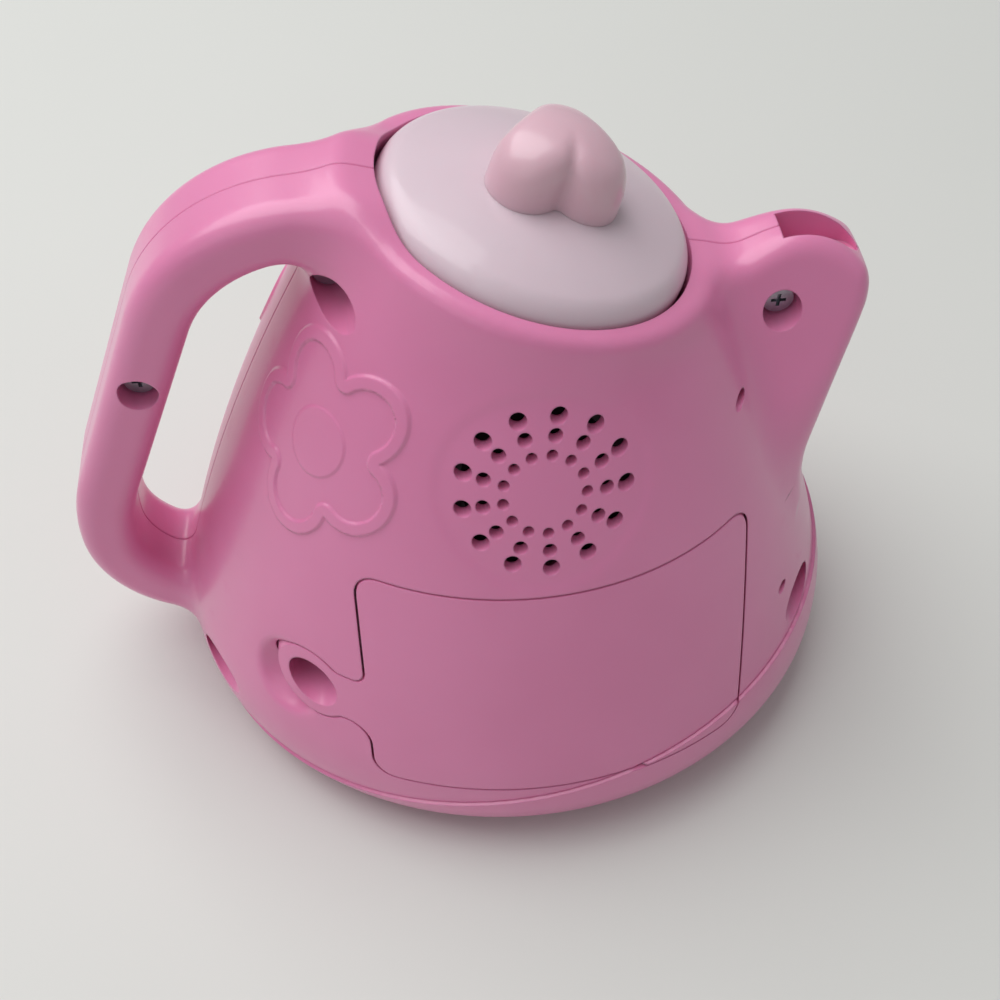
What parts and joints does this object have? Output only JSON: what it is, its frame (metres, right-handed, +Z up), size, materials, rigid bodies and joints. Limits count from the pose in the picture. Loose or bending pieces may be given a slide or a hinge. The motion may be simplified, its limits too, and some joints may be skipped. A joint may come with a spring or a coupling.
{
  "type": "toy teapot",
  "caption": "Moulded toy teapot with a loop handle, blind spout, slanted press-down domed lid with heart knob, speaker grille and screwed battery door.",
  "frame": {"origin": "under the middle of the whole object, in the plane that it stands on", "axes": "+Z up, +X from the handle to the spout, -Y out of the side with the speaker grille and battery door"},
  "size_m": [0.1518, 0.1238, 0.1246],
  "materials": {
    "shell_pink": "glossy injection-moulded, opaque",
    "lid_pearl": "glossy, translucent pearl",
    "knob_blush": "glossy, slightly translucent",
    "screw_steel": "plated self-tapping screw",
    "inner_white": "moulded, unpainted",
    "spring_steel": "nickel plated",
    "light_lens": "clear diffused lens",
    "switch_black": "moulded",
    "box_blush": "moulded, unpainted",
    "cell_wrap": "plain shrink wrap",
    "speaker_steel": "pressed steel",
    "cone_paper": "doped paper",
    "board_green": "solder-masked board",
    "chip_black": "epoxy blob"
  },
  "bodies": {
    "pot": {"rear_shell": "shell_pink", "front_shell": "shell_pink", "shell_screws": "screw_steel", "board_screws": "screw_steel", "lid_deck": "inner_white", "switch_bridge": "inner_white", "lid_spring": "spring_steel", "spring_contacts": "spring_steel", "plate_contacts": "spring_steel", "deck_lights": "light_lens", "lid_switch": "switch_black", "power_switch": "switch_black", "battery_box": "box_blush", "battery_cells": "cell_wrap", "speaker_frame": "speaker_steel", "speaker_cone": "cone_paper", "speaker_magnet": "speaker_steel", "circuit_board": "board_green", "sound_chip": "chip_black"},
    "lid_button": {"lid": "lid_pearl", "lid_knob": "knob_blush", "lid_screw": "screw_steel", "lid_washer": "inner_white"},
    "door": {"battery_door": "shell_pink", "door_screw": "screw_steel"},
    "switch_knob": {"power_slider": "inner_white"}
  },
  "joints": [
    {"name": "lid_press", "type": "slide", "parent": "pot", "child": "lid_button", "axis": [-0.2957, 0, -0.9553], "range_m": [0, 0.003], "stiffness_N_per_m": 300, "springref_m": -0.003, "deforming": ["lid_spring"]},
    {"name": "door_lift", "type": "slide", "parent": "pot", "child": "door", "axis": [0, -1, 0], "range_m": [0, 0.025]},
    {"name": "power_slide", "type": "slide", "parent": "pot", "child": "switch_knob", "axis": [1, 0, 0], "range_m": [0, 0.004]}
  ]
}
